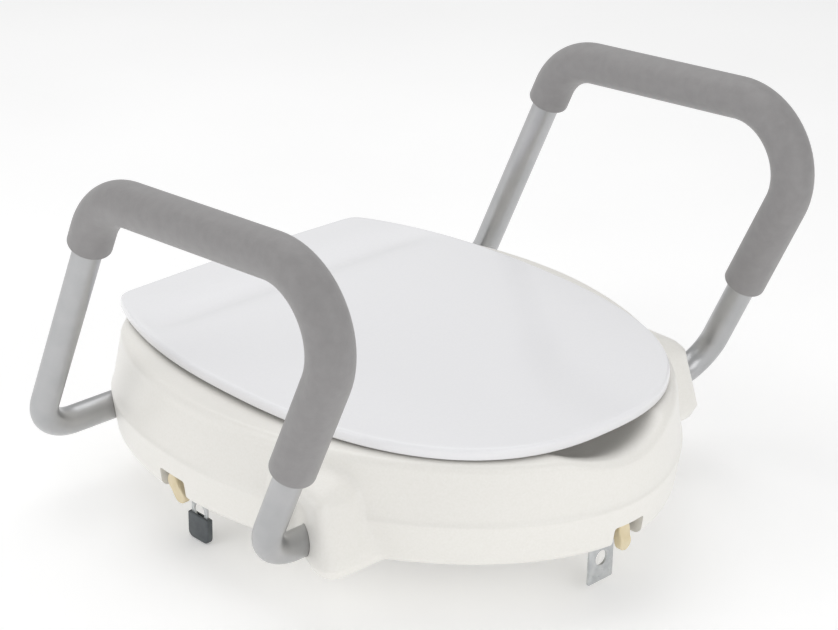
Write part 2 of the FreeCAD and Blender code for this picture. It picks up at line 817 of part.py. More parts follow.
def make_leg_locks():
    tube_inside = "tube_diameter / 2 - tube_wall"
    for side, sign in SIDES:
        for which, end in LEG_ENDS:
            corner = f"{which}_{side}"
            plug = new_body(f"leg_plug_{corner}")
            face = new_sketch(plug, "YZ_Plane", "-plug_flange")
            circle(face, 0, 0, "tube_diameter / 2")
            pad(plug, face, "plug_flange")
            stub = new_sketch(plug, "YZ_Plane")
            circle(stub, 0, 0, f"{tube_inside} - side_gap / 3")
            pad(plug, stub, "plug_stub")
            keep(at_leg_end(plug, which, end, sign), f"leg_plug_{corner}")

            flange_low = f"-sqrt(({tube_inside}) ^ 2 - button_flange_radius ^ 2) + side_gap"
            tip = "-tube_diameter / 2 - button_travel"
            button = new_body(f"leg_button_{corner}")
            turned(button, [
                (0, tip), ("button_radius * 0.6", tip),
                ("button_radius", f"{tip} + button_radius * 0.4"),
                ("button_radius", flange_low), ("button_flange_radius", flange_low),
                ("button_flange_radius", f"{flange_low} + button_flange"),
                (0, f"{flange_low} + button_flange"),
            ])
            put(button, button_x(which, sign), f"{end} * leg_y", "leg_height")
            keep(button, f"leg_button_{corner}")

            low = f"{flange_low} + button_flange"
            high = f"sqrt(({tube_inside}) ^ 2 - (spring_width / 2) ^ 2) - side_gap"
            first, last = "button_inset - button_flange_radius", "button_inset + spring_length"
            spring = new_body(f"leg_spring_{corner}")
            sketch = new_sketch(spring, "XZ_Plane")
            polygon(sketch, [
                (first, low), (f"button_inset + button_flange_radius", low), (last, "-spring_strip"),
                (last, "spring_strip"), (first, high), (first, f"{high} - spring_strip"),
                (f"{last} - 3 * spring_strip", 0),
                (f"button_inset + button_flange_radius", f"{low} + spring_strip"),
                (first, f"{low} + spring_strip"),
            ])
            pad(spring, sketch, "spring_width", midplane=True)
            keep(at_leg_end(spring, which, end, sign), f"leg_spring_{corner}")


# ---- the clamps ------------------------------------------------------------------------

def make_clamp(clamp, place, degrees, knob_turn):
    axis = "clamp_axis_height"

    def finish(item, piece):
        keep(at_clamp(item, place, degrees), f"clamp_{piece}_{clamp}")

    # a bar with round ends that the fingers turn, on a round hub
    knob = new_body(f"clamp_knob_{clamp}")
    turn = Rotation(Vector(0, 0, 1), knob_turn)
    bar = new_sketch(knob, "XZ_Plane")
    straight = "knob_half_length - knob_half_width"
    rectangle(bar, "-knob_half_width", "knob_half_width", f"-({straight})", straight)
    bar.AttachmentOffset = Placement(Vector(0, 0, 0), turn)
    pad(knob, bar, "knob_thickness", backwards=True)
    for sign in (-1, 1):
        end = new_sketch(knob, "XZ_Plane")
        circle(end, 0, f"{sign} * ({straight})", "knob_half_width")
        end.AttachmentOffset = Placement(Vector(0, 0, 0), turn)
        pad(knob, end, "knob_thickness", backwards=True)
    hub = new_sketch(knob, "XZ_Plane")
    circle(hub, 0, 0, "knob_hub_radius")
    pad(knob, hub, "bearing_start - side_gap - knob_start", backwards=True)
    bore = new_sketch(knob, "XZ_Plane", "-knob_thickness / 2")
    circle(bore, 0, 0, "screw_radius")
    pocket(knob, bore, "bearing_start")
    shift = {"front": ("0", "knob_start"), "left": ("-knob_start", "0"), "right": ("knob_start", "0")}
    dx, dy = shift[clamp]
    spun = Rotation(Vector(0, 0, 1), degrees)
    put(knob, f"{place[0]} + {dx}", f"{place[1]} + {dy}", axis, spun)
    keep(knob, f"clamp_knob_{clamp}")

    screw = new_body(f"clamp_screw_{clamp}")
    start = "knob_start + knob_thickness / 2"
    shank = new_sketch(screw, "XZ_Plane", f"-({start})")
    circle(shank, 0, axis, "screw_radius")
    pad(screw, shank, f"screw_end - ({start})", backwards=True)
    finish(screw, "screw")

    collar = new_body(f"clamp_collar_{clamp}")
    ring = new_sketch(collar, "XZ_Plane", "-(bearing_start + bearing_thickness + side_gap)")
    circle(ring, 0, axis, "collar_radius")
    circle(ring, 0, axis, "screw_radius")
    pad(collar, ring, "collar_thickness", backwards=True)
    finish(collar, "collar")

    # an angle that holds the screw, fixed to the pocket's ceiling
    bearing = new_body(f"clamp_bearing_{clamp}")
    side = new_sketch(bearing, "YZ_Plane")
    high, low = "pocket_height", f"{axis} - knob_hub_radius"
    back = "bearing_start + bearing_thickness"
    inner = f"{back} + bearing_flange"
    polygon(side, [
        ("bearing_start", low), (back, low), (back, f"{high} - bearing_foot"),
        (inner, f"{high} - bearing_foot"), (inner, high), ("bearing_start", high),
    ])
    pad(bearing, side, "2 * (pocket_half_width - side_gap)", midplane=True)
    bore = new_sketch(bearing, "XZ_Plane", "-bearing_start")
    circle(bore, 0, axis, "screw_radius + screw_clearance")
    pocket(bearing, bore, "bearing_thickness")
    fixing = new_sketch(bearing, "XY_Plane", high)
    for sign in (-1, 1):
        circle(fixing, f"{sign} * fixing_x", "bearing_start + bearing_flange * fixing_share",
               "fixing_radius + side_gap")
    pocket(bearing, fixing, "bearing_foot + 0.5")
    finish(bearing, "bearing")

    half_width = "front_bracket_half_width" if clamp == "front" else "side_bracket_half_width"
    bracket = new_body(f"clamp_bracket_{clamp}")
    plate = new_sketch(bracket, "XZ_Plane", "-bracket_start")
    rectangle(plate, f"-{half_width}", half_width, "-bracket_drop", "bracket_top")
    circle(plate, 0, "-bracket_hole_drop", "bracket_hole_radius")
    circle(plate, 0, axis, "bracket_screw_hole")
    pad(bracket, plate, "bracket_thickness", backwards=True)
    soften(bracket, lambda edge: runs_along(edge, Vector(0, 1, 0)), "bracket_thickness")
    finish(bracket, "bracket")

    nut = new_body(f"clamp_nut_{clamp}")
    block = new_sketch(nut, "XZ_Plane", "-(bracket_start + bracket_thickness)")
    rectangle(block, "-nut_half_width", "nut_half_width", f"{axis} - nut_half_height",
              f"{axis} + nut_half_height")
    circle(block, 0, axis, "screw_radius + screw_clearance")
    pad(nut, block, "nut_length", backwards=True)
    finish(nut, "nut")

    if clamp != "front":
        boot = new_body(f"clamp_boot_{clamp}")
        outer = new_sketch(boot, "XZ_Plane", "-(bracket_start - boot_wall)")
        rectangle(outer, f"-{half_width} - boot_margin", f"{half_width} + boot_margin",
                  "-bracket_drop - 2 * boot_margin", "-boot_top")
        pad(boot, outer, "bracket_thickness + 2 * boot_wall", backwards=True)
        foot = -size("bracket_drop")
        soften(boot, lambda edge: runs_along(edge, Vector(0, 1, 0)) and edge.CenterOfMass.z < foot,
               "2 * boot_margin")
        inner = new_sketch(boot, "XZ_Plane", "-bracket_start")
        rectangle(inner, f"-{half_width}", half_width, "-bracket_drop", f"-boot_top + {WELD}")
        pocket(boot, inner, "bracket_thickness")
        finish(boot, "boot")


def make_clamp_fixings():
    screws = []
    for clamp, place, degrees in CLAMPS:
        shanks = clamp_fixings(f"fixing_shank_{clamp}", "fixing_radius",
                               "pocket_height - bearing_foot", "pocket_height + fixing_length",
                               place, degrees)
        heads = clamp_fixings(f"fixing_head_{clamp}", "fixing_head_radius",
                              "pocket_height - bearing_foot - fixing_head",
                              "pocket_height - bearing_foot", place, degrees)
        for n, (shank, head) in enumerate(zip(shanks, heads)):
            screws.append(fuse(f"fixing_screw_{clamp}_{n}", [shank, head]))
    group = doc.addObject("Part::Compound", "clamp_fixing_screws")
    group.Links = screws
    keep(group, "clamp_fixing_screws")


# ---- build, check and write ------------------------------------------------------------

make_seat_body()
make_lid()
make_lid_bumpers()
make_hinges()
make_armrests()
make_leg_locks()
KNOB_TURNS = {"front": 10, "left": -40, "right": 40}
for clamp_name, clamp_place, clamp_degrees in CLAMPS:
    make_clamp(clamp_name, clamp_place, clamp_degrees, KNOB_TURNS[clamp_name])
make_clamp_fixings()
doc.recompute()

for item in doc.Objects:
    if "Invalid" in item.State or "Error" in item.State:
        raise RuntimeError(f"{item.Name} did not build: {item.State}")
for item in subparts:
    if item.Shape.isNull() or not item.Shape.isValid():
        raise RuntimeError(f"{item.Label} has no valid shape")

os.makedirs("parts", exist_ok=True)
for item in subparts:
    item.Shape.exportStep(f"parts/{item.Label}.step")
    solids = item.Shape.Solids
    print(f"{item.Label:28s} solids {len(solids)}  volume {item.Shape.Volume / 1000:9.2f} cm3")
print(len(subparts), "pieces")
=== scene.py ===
import math

import bmesh
import bpy
from mathutils import Matrix, Vector


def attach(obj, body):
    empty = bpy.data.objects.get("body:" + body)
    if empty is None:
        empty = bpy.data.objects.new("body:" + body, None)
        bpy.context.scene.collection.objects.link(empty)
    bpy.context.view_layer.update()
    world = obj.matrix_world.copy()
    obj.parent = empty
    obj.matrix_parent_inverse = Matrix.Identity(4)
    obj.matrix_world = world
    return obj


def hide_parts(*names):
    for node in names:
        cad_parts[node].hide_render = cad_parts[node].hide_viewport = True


# Raised toilet seat: a hollow seat body with a hinged lid, two plug-in armrests with foam
# grips and three screw clamps. The sizes below are millimetres until a mesh is finished.

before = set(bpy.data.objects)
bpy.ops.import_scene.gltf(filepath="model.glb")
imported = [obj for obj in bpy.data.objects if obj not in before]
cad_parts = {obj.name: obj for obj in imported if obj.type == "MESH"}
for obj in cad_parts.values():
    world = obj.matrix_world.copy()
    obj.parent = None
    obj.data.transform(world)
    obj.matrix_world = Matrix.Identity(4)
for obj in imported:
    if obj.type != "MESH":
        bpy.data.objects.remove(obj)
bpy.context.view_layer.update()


# ---- camera --------------------------------------------------------------------------------
# A long lens at standing eye height, in front of the seat and to its right, turned a
# little about its own axis.
AZIMUTH, ELEVATION, ROLL = math.radians(-44.07), math.radians(24.40), math.radians(1.08)
EYE = Vector((-1.30082, -1.39293, 0.96835))
SENSOR_WIDTH, FOCAL_LENGTH = 36, 101.43
backward = Vector((math.sin(AZIMUTH) * math.cos(ELEVATION),
                   -math.cos(AZIMUTH) * math.cos(ELEVATION), math.sin(ELEVATION)))
sideways = Vector((math.cos(AZIMUTH), math.sin(AZIMUTH), 0))
upward = backward.cross(sideways)
leaned = Matrix.Rotation(ROLL, 3, backward)
camera = bpy.data.objects.new("camera", bpy.data.cameras.new("camera"))
camera.data.sensor_width = SENSOR_WIDTH
camera.data.lens = FOCAL_LENGTH
turn = Matrix([leaned @ sideways, leaned @ upward, backward]).transposed()
camera.matrix_world = Matrix.Translation(EYE) @ turn.to_4x4()
bpy.context.scene.collection.objects.link(camera)
bpy.context.scene.camera = camera


# ---- seat body -----------------------------------------------------------------------------
# The seat is one hollow piece of high-density polyethylene, blow moulded in a split mould.
# Its upper half steps in by a rounded crease, a square boss carries each front leg, and the
# top dips at the front and is cut down to a flat deck for the lid's hinges.
BODY_MIDDLE_Y = -12
BODY_HALF_WIDTH, BODY_FRONT, BODY_REAR = 231, 293, 255
BODY_REAR_EDGE = 217
FRONT_POWER, REAR_POWER, REAR_CORNER_POWER = 1.85, 2.2, 12
OPENING_Y, OPENING_HALF_WIDTH, OPENING_HALF_LENGTH = -45, 105, 135


def eased(value, low, high):
    """0 below low and 1 above high, with a smooth change between them."""
    share = min(max((value - low) / (high - low), 0), 1)
    return share * share * (3 - 2 * share)


def body_reach(c, s, side_inset, end_inset):
    """How far the body's oval reaches from its middle in the direction c, s."""
    width = BODY_HALF_WIDTH - side_inset
    if s < 0:
        power, length = FRONT_POWER, BODY_FRONT - end_inset
        return (abs(c / width) ** power + abs(s / length) ** power) ** (-1 / power)
    length = BODY_REAR - end_inset
    near = (abs(c / width) ** REAR_POWER + abs(s / length) ** REAR_POWER) ** (1 / REAR_POWER)
    edge = s / (BODY_REAR_EDGE - end_inset)
    return (near ** REAR_CORNER_POWER + edge ** REAR_CORNER_POWER) ** (-1 / REAR_CORNER_POWER)


BOSS_HALF_WIDTH, BOSS_FRONT = 229, 179
BOSS_CORNER_POWER, BOSS_BLEND_POWER = 36, 110


def with_boss(reach, c, s, z, rounding):
    """The reach, grown to the corner of the front legs' bosses where that is farther out.

    A boss's front slopes back as it rises, and its outer side is hollowed around the leg.
    """
    if s >= 0:
        return reach
    top = 9 * eased(z, 58, 74)
    width = BOSS_HALF_WIDTH - rounding - 0.08 * z - top
    length = BOSS_FRONT - rounding - 0.3 * z - top
    corner = abs(c / width) ** BOSS_CORNER_POWER + abs(s / length) ** BOSS_CORNER_POWER
    corner **= -1 / BOSS_CORNER_POWER
    y = BODY_MIDDLE_Y + corner * s
    corner -= 19 * math.exp(-((y + 140) / 17) ** 2) * (1 - eased(z, 36, 64))
    fade = eased(-y, 98, 122) * (1 - eased(z, 66, 77))
    blended = (reach ** BOSS_BLEND_POWER + corner ** BOSS_BLEND_POWER) ** (1 / BOSS_BLEND_POWER)
    return reach + (blended - reach) * fade


def top_drop(x, y, z):
    """How far the front dish and the hinge deck lower a point near the top."""
    across = max(0, 1 - (x / 62) ** 2)
    dish = 11 * across ** 1.4 * eased(-y, 120, 200) * eased(z, 66, 90)
    inward = 13 * across ** 1.2 * eased(-y, 168, 190) * eased(y, -293, -240) * eased(z, 80, 88)
    deck = (eased(x, -116, -106) - eased(x, 106, 116)) * eased(y, 143, 152) * eased(z, 66, 82)
    return dish + inward + deck * max(0, z - 82)


def ring(bm, count):
    """A circle of unit radius, as its vertices in order of angle."""
    made = bmesh.ops.create_circle(bm, segments=count, radius=1)["verts"]
    return sorted(made, key=lambda v: math.atan2(v.co.y, v.co.x) % (2 * math.pi))


def edges_around(bm, row):
    """The edges of a closed ring, from its vertices in order."""
    return [bm.edges.get((a, b)) for a, b in zip(row, row[1:] + row[:1])]


def next_ring(bm, previous):
    """Extrudes a closed ring of vertices, and gives the new ones in the same order."""
    made = bmesh.ops.extrude_edge_only(bm, edges=edges_around(bm, previous))["geom"]
    fresh = {v for v in made if isinstance(v, bmesh.types.BMVert)}
    ahead = {v: e.other_vert(v) for v in previous for e in v.link_edges
             if e.other_vert(v) in fresh}
    return [ahead[v] for v in previous]


def arc(count):
    """Sine and cosine over a quarter turn."""
    angles = [math.pi / 2 * n / count for n in range(count + 1)]
    return [(math.sin(angle), math.cos(angle)) for angle in angles]


# each level of the outer wall: height, then how far the side and the end are set in
walls = [(9 * (1 - c), 13 - 9 * s, 13 - 9 * s) for s, c in arc(6)]
walls += [(16, 3, 3), (24, 2, 2), (31, 1, 1), (36, 0.4, 0.4), (38.4, 0.1, 0.1), (39.4, 0.3, 0.25),
          (40.2, 0.7, 0.6), (41, 1.2, 1), (42, 1.7, 1.3), (43.2, 2.2, 1.6), (45, 2.8, 1.9)]
walls += [(z, 2.8 + (z - 45) * 0.27, 1.9 + (z - 45) * 0.055) for z in range(48, 84, 3)]
walls += [(82 + 8 * s, 12.6 + 7 * (1 - c), 4 + 7 * (1 - c)) for s, c in arc(7)]
# each level of the top: its share of the way in to the opening's lip, and its height
tops = [(0.06, 90), (0.12, 89.7), (0.2, 89), (0.3, 88.2), (0.42, 87.6), (0.55, 87.3),
        (0.7, 87.2), (0.85, 87.2), (1, 87)]
# each level of the opening: how far it flares, and its height
MOUTH_FLARE = 14
mouths = [(MOUTH_FLARE * (1 - s), 73 + MOUTH_FLARE * c) for s, c in arc(7)][1:]
mouths += [(0, z) for z in (66, 50, 34, 18, 4)] + [(0.4, 1.2), (1.5, 0)]

bm = bmesh.new()
# the columns stand closer together where the bosses are
turns = [0.0]
while turns[-1] < 359.2:
    fine = 200 < turns[-1] < 232 or 308 < turns[-1] < 340
    turns.append(turns[-1] + (0.36 if fine else 1.0))
directions = [(math.cos(math.radians(t)), math.sin(math.radians(t))) for t in turns]


def opening_point(c, s, flare):
    """A point on the opening's oval, grown by its flare."""
    return ((OPENING_HALF_WIDTH + flare) * c, OPENING_Y + (OPENING_HALF_LENGTH + flare) * s)


first = current = ring(bm, len(directions))
for level, (z, side, end) in enumerate(walls):
    if level:
        current = next_ring(bm, current)
    for v, (c, s) in zip(current, directions):
        reach = with_boss(body_reach(c, s, side, end), c, s, z, max(0, 9 - z) * 0.6)
        x, y = reach * c, BODY_MIDDLE_Y + reach * s
        v.co = (x, y, z - top_drop(x, y, z))
rim = [v.co.copy() for v in current]
for share, z in tops:
    current = next_ring(bm, current)
    for v, (c, s), outer in zip(current, directions, rim):
        inner_x, inner_y = opening_point(c, s, MOUTH_FLARE)
        x, y = outer.x + (inner_x - outer.x) * share, outer.y + (inner_y - outer.y) * share
        v.co = (x, y, z - top_drop(x, y, z))
for flare, z in mouths:
    current = next_ring(bm, current)
    for v, (c, s) in zip(current, directions):
        x, y = opening_point(c, s, flare)
        v.co = (x, y, z - top_drop(x, y, z))
bmesh.ops.bridge_loops(bm, edges=edges_around(bm, first) + edges_around(bm, current))
bmesh.ops.recalc_face_normals(bm, faces=bm.faces)


def rod(bm, radius, length, place, segments=48):
    """A closed cylinder along the Z axis of its place."""
    bmesh.ops.create_cone(bm, cap_ends=True, segments=segments, radius1=radius, radius2=radius,
                          depth=length, matrix=place)


def rod_along_x(bm, y, z, radius, start, end, segments=48):
    """A closed cylinder that lies along X."""
    place = Matrix.Translation(((start + end) / 2, y, z)) @ Matrix.Rotation(math.pi / 2, 4, "Y")
    rod(bm, radius, abs(end - start), place, segments)


def bevelled(bm, edges, offset, segments):
    """Rounds edges over with a number of segments."""
    bmesh.ops.bevel(bm, geom=edges, offset=offset, affect="EDGES", segments=segments,
                    profile=0.5, material=-1)


def block(bm, x0, x1, y0, y1, z0, z1, edge=0):
    """A box, with its edges rounded where an edge is given."""
    place = Matrix.Translation(((x0 + x1) / 2, (y0 + y1) / 2, (z0 + z1) / 2))
    size = Matrix.Diagonal((x1 - x0, y1 - y0, z1 - z0, 1))
    verts = bmesh.ops.create_cube(bm, size=1, matrix=place @ size)["verts"]
    if edge:
        bevelled(bm, list({e for v in verts for e in v.link_edges}), edge, 3)


# where each clamp's pocket opens, and which way it faces
CLAMPS = {
    "front": Matrix.Translation((0, -301, 0)),
    "left": Matrix.Translation((227, 12, 0)) @ Matrix.Rotation(math.pi / 2, 4, "Z"),
    "right": Matrix.Translation((-227, 12, 0)) @ Matrix.Rotation(-math.pi / 2, 4, "Z"),
}
# each leg's inner end along X, and its place along Y
LEGS = {"front": (140, -148.5), "rear": (112, 148.5)}
LEG_HEIGHT = 21.5
SOCKET_RADIUS, SOCKET_ROOM, SOCKET_MOUTH = 12.8, 2.3, 245
BUTTON_HOLE_RADIUS, BUTTON_FROM_END = 4.4, 22

cutter = bmesh.new()
for place in CLAMPS.values():
    pocket = bmesh.new()
    block(pocket, -17.5, 17.5, -30, 64, -20, 20, 3)
    bmesh.ops.transform(pocket, matrix=place, verts=pocket.verts)
    scratch = bpy.data.meshes.new("pocket")
    pocket.to_mesh(scratch)
    pocket.free()
    cutter.from_mesh(scratch)
    bpy.data.meshes.remove(scratch)
holes = bmesh.new()
for sign in (-1, 1):
    for end, y in LEGS.values():
        rod_along_x(cutter, y, LEG_HEIGHT, SOCKET_RADIUS, sign * (end - SOCKET_ROOM),
                    sign * SOCKET_MOUTH, 64)
        bottom = Matrix.Translation((sign * (end + BUTTON_FROM_END), y, 6))
        rod(holes, BUTTON_HOLE_RADIUS, 20, bottom, 32)
bmesh.ops.recalc_face_normals(cutter, faces=cutter.faces)


def made_object(name, bm, scale=0.001):
    """An object from a bmesh in millimetres."""
    bmesh.ops.scale(bm, vec=(scale,) * 3, verts=bm.verts)
    mesh = bpy.data.meshes.new(name)
    bm.to_mesh(mesh)
    bm.free()
    item = bpy.data.objects.new(name, mesh)
    bpy.context.scene.collection.objects.link(item)
    return item


def combine(item, operation, *others):
    """Joins or cuts an object with others, which are used up."""
    for other in others:
        modifier = item.modifiers.new("combine", "BOOLEAN")
        modifier.operation = operation
        modifier.solver = "EXACT"
        modifier.object = other
    graph = bpy.context.evaluated_depsgraph_get()
    mesh = bpy.data.meshes.new_from_object(item.evaluated_get(graph))
    item.modifiers.clear()
    old, item.data = item.data, mesh
    bpy.data.meshes.remove(old)
    for other in others:
        bpy.data.objects.remove(other)


def shaded(item, degrees=35):
    """Smooth shading, kept sharp over edges steeper than an angle."""
    item.data.shade_smooth()
    item.data.set_sharp_from_angle(angle=math.radians(degrees))


seat_shell = made_object("seat_shell", bm)
combine(seat_shell, "DIFFERENCE", made_object("cuts", cutter), made_object("holes", holes))
shaded(seat_shell, 40)


# Moulded polyethylene is waxy and glossy, a warm white. Its grain is finer than a render
# shows, so it is drawn at 2 mm.
def linear(text):
    """A colour's linear values from its sRGB hex code."""
    values = [int(text[n:n + 2], 16) / 255 for n in (1, 3, 5)]
    return [v / 12.92 if v <= 0.04045 else ((v + 0.055) / 1.055) ** 2.4 for v in values] + [1]


def add(tree, kind, links=(), **settings):
    """Adds a node, sets its properties or input values, and links its inputs."""
    node = tree.nodes.new(kind)
    for key, value in settings.items():
        if hasattr(node, key):
            setattr(node, key, value)
        else:
            node.inputs[key.replace("_", " ")].default_value = value
    for socket, source in links:
        tree.links.new(source, node.inputs[socket])
    return node


def surface(name, roughness, metallic=0.0, ior=1.5):
    """A new material's tree, its shader and its object coordinates."""
    material = bpy.data.materials.new(name)
    material.use_nodes = True
    tree = material.node_tree
    shader = tree.nodes["Principled BSDF"]
    shader.inputs["Roughness"].default_value = roughness
    shader.inputs["Metallic"].default_value = metallic
    shader.inputs["IOR"].default_value = ior
    where = tree.nodes.new("ShaderNodeTexCoord").outputs["Object"]
    return material, tree, shader, where


def mottled(tree, shader, where, dark, light, size_mm, detail=3.0):
    """Varies the colour softly between two tones over patches of a real size."""
    noise = add(tree, "ShaderNodeTexNoise", [("Vector", where)], Scale=1000 / size_mm,
                Detail=detail)
    ramp = add(tree, "ShaderNodeValToRGB", [("Fac", noise.outputs["Fac"])])
    for stop, position, tone in zip(ramp.color_ramp.elements, (0.3, 0.7), (dark, light)):
        stop.position, stop.color = position, linear(tone)
    tree.links.new(ramp.outputs["Color"], shader.inputs["Base Color"])


def bumped(tree, shader, height, depth_mm, strength=1.0):
    """Raises a pattern from the surface by a real depth."""
    bump = add(tree, "ShaderNodeBump", [("Height", height)], Strength=strength,
               Distance=depth_mm / 1000)
    tree.links.new(bump.outputs["Normal"], shader.inputs["Normal"])


def roughened(tree, shader, value, low, high):
    """Lets a pattern move the roughness between two values."""
    remap = add(tree, "ShaderNodeMapRange", [("Value", value)], To_Min=low, To_Max=high)
    remap.inputs["From Min"].default_value = 0.3
    remap.inputs["From Max"].default_value = 0.7
    tree.links.new(remap.outputs["Result"], shader.inputs["Roughness"])


polyethylene, tree, shader, where = surface("moulded_polyethylene", 0.3, ior=1.53)
mottled(tree, shader, where, "#F1EFE9", "#F5F3EE", 2, 8.0)


def finish(item, material, body, slot, *nodes):
    """Gives a piece its finish, its body and the nodes that it stands for."""
    item.data.materials.clear()
    item.data.materials.append(material)
    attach(item, body)
    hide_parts(*nodes)


finish(seat_shell, polyethylene, "seat", "body_plastic", "seat_body")


# ---- lid -----------------------------------------------------------------------------------
# The lid is a thin shell of injection-moulded polypropylene with a turned-down rim, glossy
# and a cooler white than the seat. It is crowned, with a soft valley across its rear where
# the hinge lugs are moulded on.
LID_MIDDLE_Y = -4
LID_HALF_WIDTH, LID_FRONT, LID_REAR = 187, 270.5, 289
LID_REAR_EDGE, LID_REAR_SAG = 198, 7.2
LID_BOTTOM, LID_TOP = 92, 102
LID_COLUMNS = 320


def lid_reach(c, s):
    """How far the lid reaches from its middle in the direction c, s."""
    power, length = (2.5, LID_FRONT) if s < 0 else (2.14, LID_REAR)
    oval = (abs(c / LID_HALF_WIDTH) ** power + abs(s / length) ** power) ** (-1 / power)
    if s <= 0.05:
        return oval
    across = min(oval * abs(c), LID_HALF_WIDTH) / LID_HALF_WIDTH
    edge = (LID_REAR_EDGE - LID_REAR_SAG * across ** 2 - LID_MIDDLE_Y) / s
    return (oval ** -60 + edge ** -60) ** (-1 / 60)


def lid_height(x, y, share):
    """The top's height: a low crown, and a soft valley across the rear."""
    crown = 2.6 * (1 - share ** 2.6)
    valley = 5.5 * math.exp(-((y - 122) / 19) ** 2) * (1 - share ** 8)
    return LID_TOP + crown - valley


# each level, from the middle of the underside round the rim to the middle of the top: its
# share of the reach, how far it is set in, and its height, with None where the crown gives it
lid_levels = [(0.1 + 0.9 * n / 12, 6, 98) for n in range(13)]
lid_levels += [(1, 6, 95), (1, 5.9, 92.8), (1, 5.2, 92.1)]
lid_levels += [(1, 4.6, LID_BOTTOM), (1, 1.6, LID_BOTTOM)]
lid_levels += [(1, 1.6 * (1 - s), 93.6 - 1.6 * c) for s, c in arc(4)][1:]
lid_levels += [(1, 0, 96), (1, 0, 98.4)]
lid_levels += [(1, 3.6 * (1 - c), 98.4 + 3.6 * s) for s, c in arc(6)][1:]
lid_levels += [(1 - n / 46, 3.6 * (1 - n / 46), None) for n in range(1, 46)]
bm = bmesh.new()
first = current = ring(bm, LID_COLUMNS)
lid_ways = [(math.cos(2 * math.pi * n / LID_COLUMNS), math.sin(2 * math.pi * n / LID_COLUMNS))
            for n in range(LID_COLUMNS)]
for level, (share, inset, z) in enumerate(lid_levels):
    if level:
        current = next_ring(bm, current)
    for v, (c, s) in zip(current, lid_ways):
        reach = lid_reach(c, s) * share - inset
        x, y = reach * c, LID_MIDDLE_Y + reach * s
        v.co = (x, y, lid_height(x, y, share) if z is None else z)
for row in (first, current):
    bmesh.ops.contextual_create(bm, geom=edges_around(bm, row))
bmesh.ops.poke(bm, faces=[f for f in bm.faces if len(f.verts) > 4])
bmesh.ops.recalc_face_normals(bm, faces=bm.faces)
lid_panel = made_object("lid_panel", bm)

# the hinge: two lugs with webs on each side of a post, a bore for the pin, and a notch in the
# lid that lets the post stand up through it
HINGE_X, HINGE_Y, HINGE_Z = 75, 195.5, 91.5
LUG_RADIUS, LUG_WIDTH, LUG_STARTS = 6.5, 10, (10.5, -20.5)
PIN_BORE_RADIUS, NOTCH_HALF_WIDTH = 2.6, 11.2
lugs, webs, bores, notches = bmesh.new(), bmesh.new(), bmesh.new(), bmesh.new()
for sign in (-1, 1):
    middle = sign * HINGE_X
    for start in LUG_STARTS:
        low = middle + start
        rod_along_x(lugs, HINGE_Y, HINGE_Z, LUG_RADIUS, low, low + LUG_WIDTH)
        block(webs, low + 0.3, low + 9.7, HINGE_Y - 19.5, HINGE_Y, HINGE_Z - 3, HINGE_Z + 6.3, 0.8)
    rod_along_x(bores, HINGE_Y, HINGE_Z, PIN_BORE_RADIUS, middle - 25, middle + 25, 32)
    block(notches, middle - NOTCH_HALF_WIDTH, middle + NOTCH_HALF_WIDTH, 187, 215, 80, 98.7)
combine(lid_panel, "DIFFERENCE", made_object("notches", notches))
combine(lid_panel, "UNION", made_object("lugs", lugs), made_object("webs", webs))
combine(lid_panel, "DIFFERENCE", made_object("bores", bores))
shaded(lid_panel, 35)

# Moulded polypropylene has a smooth, glassy polish and a cool white with no visible grain.
polypropylene, tree, shader, where = surface("moulded_polypropylene", 0.16, ior=1.49)
mottled(tree, shader, where, "#F4F4F6", "#F6F6F8", 2, 8.0)
finish(lid_panel, polypropylene, "lid", "lid_plastic", "lid")


# ---- lid bumpers ---------------------------------------------------------------------------
# Four small buttons of moulded white rubber, slightly tapered, under the lid. They land on
# the seat's top and keep the two plastics apart.
BUMPER_RADII, BUMPER_HEIGHT, BUMPER_MIDDLE_Z = (5.4, 6), 4.4, 90.2

# The rubber is matt and a little greyer than the plastics.
white_rubber, tree, shader, where = surface("white_rubber", 0.6, ior=1.52)
mottled(tree, shader, where, "#DCDCD8", "#E6E6E2", 8)
for corner, x, y in (("front_left", 105, -195), ("front_right", -105, -195),
                     ("rear_left", 150, 60), ("rear_right", -150, 60)):
    bm = bmesh.new()
    bmesh.ops.create_cone(bm, cap_ends=True, segments=48, radius1=BUMPER_RADII[0],
                          radius2=BUMPER_RADII[1], depth=BUMPER_HEIGHT,
                          matrix=Matrix.Translation((x, y, BUMPER_MIDDLE_Z)))
    rims = [e for e in bm.edges if all(v.co.z < 89 for v in e.verts)]
    bevelled(bm, rims, 1.2, 4)
    bumper = made_object(f"bumper_{corner}", bm)
    shaded(bumper)
    finish(bumper, white_rubber, "lid", "bumper_rubber", f"lid_bumper_{corner}")


# ---- armrests ------------------------------------------------------------------------------
# Each armrest is one length of 25 mm aluminium tube with a 1.5 mm wall, satin anodised and
# bent cold on a mandrel. Both its ends turn inwards and push into the seat.
ARM_X, POST_LEAN = 269, math.tan(math.radians(23.9))
FRONT_CORNER_Z, REAR_CORNER_Z = 297.4, 276
TUBE_RADIUS, TUBE_WALL = 12.5, 1.5
TOP_BEND, BOTTOM_BEND = 60, 40


def arm_corners(sign):
    """The corners that one armrest's tube goes round, from the front leg to the rear one."""
    return [Vector(p) for p in (
        (sign * 140, -148.5, LEG_HEIGHT),
        (sign * ARM_X, -148.5, LEG_HEIGHT),
        (sign * ARM_X, -148.5 - POST_LEAN * (FRONT_CORNER_Z - LEG_HEIGHT), FRONT_CORNER_Z),
        (sign * ARM_X, 148.5 - POST_LEAN * (REAR_CORNER_Z - LEG_HEIGHT), REAR_CORNER_Z),
        (sign * ARM_X, 148.5, LEG_HEIGHT),
        (sign * 112, 148.5, LEG_HEIGHT),
    )]


